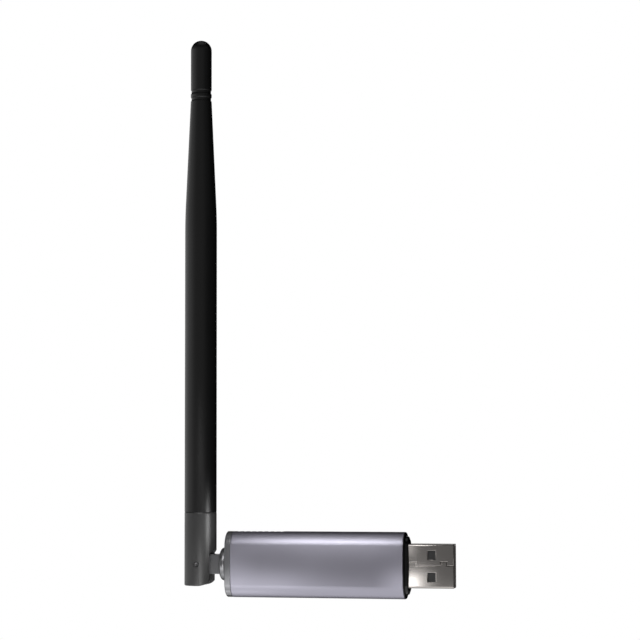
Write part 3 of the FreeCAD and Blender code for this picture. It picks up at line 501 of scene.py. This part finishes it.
def hinge_pin(node, name, side):
    """A stub pin with rounded ends and a dished outer face, turned from its profile.

    The side is -1 for a pin that faces the front and 1 for one that faces the rear.
    """
    low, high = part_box(node)
    outer = abs(low[1] if side < 0 else high[1])
    inner = abs(high[1] if side < 0 else low[1])
    radius = (high[2] - low[2]) / 2
    centre = Vector(((low[0] + high[0]) / 2, 0, (low[2] + high[2]) / 2))
    rim_middle = PIN_ROUND * ROUND_MIDDLE
    profile = [
        (0.0, inner), (radius - PIN_ROUND, inner), (radius, inner + PIN_ROUND),
        (radius, outer - PIN_ROUND), (radius - rim_middle, outer - rim_middle)]
    for inset, reached in PIN_DISH_SLOPE:
        profile.append((radius - inset * PIN_ROUND, outer - PIN_DISH * reached))
    profile.append((0.0, outer - PIN_DISH))
    bm = bmesh.new()
    chain = [bm.verts.new(centre + Vector((0, side * along, across))) for across, along in profile]
    for start, end in zip(chain, chain[1:]):
        bm.edges.new((start, end))
    bmesh.ops.spin(
        bm, geom=bm.verts[:] + bm.edges[:], cent=centre, axis=(0, 1, 0), angle=math.tau,
        steps=PIN_STEPS, use_merge=True, use_normal_flip=False, use_duplicate=False)
    bmesh.ops.remove_doubles(bm, verts=bm.verts, dist=MERGE_DISTANCE)
    bmesh.ops.recalc_face_normals(bm, faces=bm.faces)
    piece = new_piece(name, bm, "antenna", "pin_steel")
    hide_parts(node)


for node, cad_object in frame["nodes"].items():
    give_finish(cad_object, SLOT_OF[node])

rounded_copy(
    "housing_sleeve", "sleeve_rounded", edge_round=0.05,
    cuts=[(ALONG_STICK, at) for at in SLEEVE_CUTS])
rounded_copy("plug_end_cap", "plug_cap_rounded", edge_round=0.07)
rounded_copy("antenna_end_cap", "antenna_cap_rounded", edge_round=0.08)
rounded_copy(
    "usb_shell", "plug_shell_rounded", edge_round=0.19, least_angle=48, keep=[SHELL_INSIDE])
rounded_copy("swivel_knuckle", "knuckle_rounded", edge_round=0.14)
rounded_copy(
    "antenna_base", "fork_rounded", edge_round=0.12,
    cuts=[(ALONG_ANTENNA, at) for at in FORK_CUTS], keep=[FORK_SADDLE, FORK_PIN_HOLES])
hinge_pin("hinge_pin_front", "pin_front_dished", side=-1)
hinge_pin("hinge_pin_rear", "pin_rear_dished", side=1)
radome()


# Studio

# Floor: the height, middle, radius and sides of its disc, its paint and its own light
FLOOR_HEIGHT = -0.16
FLOOR_MIDDLE = (-0.025, -0.17)
FLOOR_RADIUS = 0.26
FLOOR_SIDES = 96
FLOOR_PAINT = 0.86
FLOOR_GLOW = 0.86

# Camera: the point that it looks at, the ways back from there and to its right, its distance
# and lens, and how far it is rolled
AIM = Vector((-0.02497, -0.00004, 0.06728))
BACK = Vector((0.21344, -0.97468, -0.06674))
RIGHT = Vector((0.97685, 0.21392, 0.0))
DISTANCE = 0.553
LENS = 112.5
SENSOR = 36.0
NEAREST, FARTHEST = 0.01, 20.0
ROLL = math.radians(0.139)

# Softboxes: name, place, the point that each faces, width, height, radiance, spread in degrees
SOFTBOXES = (
    ("low front softbox", (-0.050, -0.070, -0.045), (-0.056, 0.0, 0.0),
     0.040, 0.030, 0.637, 180),
    ("right side softbox", (-0.020, -0.060, 0.010), (-0.059, 0.0, 0.008),
     0.012, 0.012, 1.174, 180),
    ("front overhead softbox", (-0.0290, -0.042, 0.050), (-0.0290, -0.004, 0.012),
     0.049, 0.024, 0.43, 60),
    ("far overhead softbox", (-0.0285, -0.070, 0.050), (-0.0285, -0.004, 0.012),
     0.048, 0.024, 0.50, 50),
    ("steep overhead softbox", (-0.0270, -0.020, 0.060), (-0.0270, -0.003, 0.013),
     0.044, 0.014, 0.12, 50),
    ("low strip", (-0.056, -0.034, -0.012), (-0.058, -0.004, -0.006),
     0.040, 0.010, 0.654, 180),
    ("lower strip", (-0.056, -0.034, -0.020), (-0.058, -0.004, -0.006),
     0.040, 0.010, 0.496, 180),
    ("low left softbox", (-0.070, -0.045, -0.030), (-0.054, 0.0, -0.003),
     0.020, 0.020, 0.40, 180),
    ("softbox under the elbow", (-0.056, -0.012, -0.040), (-0.052, 0.0, -0.004),
     0.016, 0.012, 0.817, 180),
    ("side strip by the elbow", (-0.0255, -0.0160, 0.0095), (-0.058, -0.0042, 0.0095),
     0.015, 0.009, 0.75, 50),
    ("front softbox for the elbow", (-0.0520, -0.043, -0.010), (-0.0605, -0.0045, -0.003),
     0.028, 0.016, 0.12, 20),
    ("wide softbox for the plug", (-0.008, -0.050, -0.014), (0.004, -0.002, -0.004),
     0.014, 0.014, 0.018, 24),
    ("close softbox for the plug", (-0.0110, -0.034, -0.0130), (0.003, -0.002, -0.005),
     0.010, 0.010, 0.14, 28),
)


def seen_as_background(nodes, links):
    """One for rays that show the background: from the camera, off gloss and through glass."""
    ray = nodes.new("ShaderNodeLightPath")
    first = math_node(nodes, "MAXIMUM")
    second = math_node(nodes, "MAXIMUM")
    links.new(ray.outputs["Is Camera Ray"], first.inputs[0])
    links.new(ray.outputs["Is Glossy Ray"], first.inputs[1])
    links.new(first.outputs[0], second.inputs[0])
    links.new(ray.outputs["Is Transmission Ray"], second.inputs[1])
    return second.outputs[0]


def floor():
    """A pale floor well below the object. It keeps the shadow, and is clear from below."""
    bm = bmesh.new()
    bmesh.ops.create_circle(bm, cap_ends=True, segments=FLOOR_SIDES, radius=FLOOR_RADIUS)
    bmesh.ops.translate(bm, verts=bm.verts, vec=FLOOR_MIDDLE + (FLOOR_HEIGHT,))
    mesh = bpy.data.meshes.new("floor")
    bm.to_mesh(mesh)
    bm.free()
    piece = bpy.data.objects.new("floor", mesh)
    bpy.context.scene.collection.objects.link(piece)
    material = bpy.data.materials.new("pale floor")
    material.use_nodes = True
    nodes, links = material.node_tree.nodes, material.node_tree.links
    paint = nodes["Principled BSDF"]
    paint.inputs["Base Color"].default_value = grey(FLOOR_PAINT)
    paint.inputs["Roughness"].default_value = 0.9
    paint.inputs["Specular IOR Level"].default_value = 0.0
    lift = nodes.new("ShaderNodeEmission")
    lift.inputs["Strength"].default_value = FLOOR_GLOW
    both = nodes.new("ShaderNodeAddShader")
    lit = nodes.new("ShaderNodeMixShader")
    links.new(seen_as_background(nodes, links), lit.inputs["Fac"])
    links.new(paint.outputs["BSDF"], lit.inputs[1])
    links.new(paint.outputs["BSDF"], both.inputs[0])
    links.new(lift.outputs["Emission"], both.inputs[1])
    links.new(both.outputs["Shader"], lit.inputs[2])
    side = nodes.new("ShaderNodeNewGeometry")
    clear = nodes.new("ShaderNodeBsdfTransparent")
    whole = nodes.new("ShaderNodeMixShader")
    links.new(side.outputs["Backfacing"], whole.inputs["Fac"])
    links.new(lit.outputs["Shader"], whole.inputs[1])
    links.new(clear.outputs["BSDF"], whole.inputs[2])
    links.new(whole.outputs["Shader"], nodes["Material Output"].inputs["Surface"])
    mesh.materials.append(material)


def ramp(nodes, stops):
    """A Color Ramp with grey stops, each a position and a level."""
    node = nodes.new("ShaderNodeValToRGB")
    elements = node.color_ramp.elements
    elements[0].position, elements[1].position = stops[0][0], stops[-1][0]
    elements[0].color, elements[1].color = grey(stops[0][1]), grey(stops[-1][1])
    for position, level in stops[1:-1]:
        elements.new(position).color = grey(level)
    return node


# Levels of the surroundings, each at an angle in degrees. Bearings run from the front (0) round
# by the right (+) or the left (-), heights from straight down (-90) to straight up (90). Three
# pairs of bearings and heights are multiplied and added to the top's light. BACKDROP is where
# gloss and glass see the camera's white, within the heights of BAND.
ROUND_ABOUT = (
    (-180, 0.0), (-165, 0.0), (-135, 0.80), (-105, 0.80), (-75, 0.56), (-60, 0.56),
    (-30, 0.187), (30, 0.187), (60, 0.03), (120, 0.03), (150, 0.0), (180, 0.0))
BAND = ((-90, 0.0), (-16, 0.0), (-8, 1.0), (12, 1.0), (22, 0.0), (90, 0.0))
AHEAD = ((-180, 0.0), (-110, 0.0), (-80, 1.0), (80, 1.0), (110, 0.0), (180, 0.0))
FRONT_HEIGHTS = (
    (-90, 0.275), (-16, 0.275), (-8, 0.0), (12, 0.0), (22, 0.164), (34, 0.164), (46, 0.0),
    (90, 0.0))
BEHIND = ((-180, 1.0), (-110, 1.0), (-80, 0.0), (80, 0.0), (110, 1.0), (180, 1.0))
REAR_HEIGHTS = ((-90, 0.06), (-16, 0.06), (-8, 0.0), (90, 0.0))
TOP = ((-90, 0.0), (60, 0.0), (72, 0.335), (90, 0.335))
BACKDROP = ((-180, 1.0), (-165, 1.0), (-135, 0.0), (176, 0.0), (179, 1.0), (180, 1.0))


def surroundings():
    """White to the camera, and to gloss and glass behind the object; else a studio's levels."""
    world = bpy.data.worlds.new("studio")
    bpy.context.scene.world = world
    world.use_nodes = True
    nodes, links = world.node_tree.nodes, world.node_tree.links
    nodes.clear()
    place = nodes.new("ShaderNodeTexCoord")
    parts = nodes.new("ShaderNodeSeparateXYZ")
    links.new(place.outputs["Generated"], parts.inputs["Vector"])

    def joined(operation, first, second):
        node = math_node(nodes, operation)
        links.new(first, node.inputs[0])
        links.new(second, node.inputs[1])
        return node.outputs[0]

    def span(value, low, high):
        node = nodes.new("ShaderNodeMapRange")
        node.inputs["From Min"].default_value = low
        node.inputs["From Max"].default_value = high
        links.new(value, node.inputs["Value"])
        return node.outputs["Result"]

    def levels(share, stops):
        low, high = stops[0][0], stops[-1][0]
        node = ramp(nodes, [((degrees - low) / (high - low), level) for degrees, level in stops])
        links.new(share, node.inputs["Fac"])
        return node.outputs["Color"]

    front = math_node(nodes, "MULTIPLY", -1.0)
    links.new(parts.outputs["Y"], front.inputs[0])
    bearing = joined("ARCTAN2", parts.outputs["X"], front.outputs[0])
    around = span(bearing, -math.pi, math.pi)
    rise = math_node(nodes, "ARCSINE")
    links.new(parts.outputs["Z"], rise.inputs[0])
    upward = span(rise.outputs[0], -math.pi / 2, math.pi / 2)
    band = levels(upward, BAND)
    total = levels(upward, TOP)
    for first, second in ((levels(around, ROUND_ABOUT), band),
                          (levels(around, AHEAD), levels(upward, FRONT_HEIGHTS)),
                          (levels(around, BEHIND), levels(upward, REAR_HEIGHTS))):
        total = joined("ADD", total, joined("MULTIPLY", first, second))
    studio = nodes.new("ShaderNodeBackground")
    links.new(total, studio.inputs["Color"])
    white = nodes.new("ShaderNodeBackground")
    white.inputs["Color"].default_value = (1.0, 1.0, 1.0, 1.0)
    ray = nodes.new("ShaderNodeLightPath")
    gloss = joined("MAXIMUM", ray.outputs["Is Glossy Ray"], ray.outputs["Is Transmission Ray"])
    backdrop = joined("MULTIPLY", levels(around, BACKDROP), band)
    seen = joined("MAXIMUM", ray.outputs["Is Camera Ray"], joined("MULTIPLY", gloss, backdrop))
    either = nodes.new("ShaderNodeMixShader")
    links.new(seen, either.inputs["Fac"])
    links.new(studio.outputs["Background"], either.inputs[1])
    links.new(white.outputs["Background"], either.inputs[2])
    output = nodes.new("ShaderNodeOutputWorld")
    links.new(either.outputs["Shader"], output.inputs["Surface"])


def softbox(name, place, aim, width, height, radiance, spread):
    """A rectangular lamp of even radiance that faces a point. A grid can narrow its spread."""
    lamp = bpy.data.lights.new(name, "AREA")
    lamp.shape = "RECTANGLE"
    lamp.size = width
    lamp.size_y = height
    lamp.energy = math.pi * width * height * radiance
    lamp.spread = math.radians(spread)
    holder = bpy.data.objects.new(name, lamp)
    bpy.context.scene.collection.objects.link(holder)
    holder.location = place
    direction = Vector(aim) - Vector(place)
    holder.rotation_euler = direction.to_track_quat("-Z", "Y").to_euler()
    holder.visible_camera = False


def camera():
    """The camera at the photograph's place, turned and rolled to match it."""
    up = BACK.cross(RIGHT)
    across = math.cos(ROLL) * RIGHT - math.sin(ROLL) * up
    upright = math.sin(ROLL) * RIGHT + math.cos(ROLL) * up
    data = bpy.data.cameras.new("camera")
    data.sensor_width = SENSOR
    data.lens = LENS
    data.clip_start = NEAREST
    data.clip_end = FARTHEST
    holder = bpy.data.objects.new("camera", data)
    bpy.context.scene.collection.objects.link(holder)
    turned = Matrix((across, upright, BACK)).transposed().to_4x4()
    turned.translation = AIM + BACK * DISTANCE
    holder.matrix_world = turned
    bpy.context.scene.camera = holder


floor()
surroundings()
for details in SOFTBOXES:
    softbox(*details)
camera()
bpy.context.scene.view_settings.view_transform = "Standard"
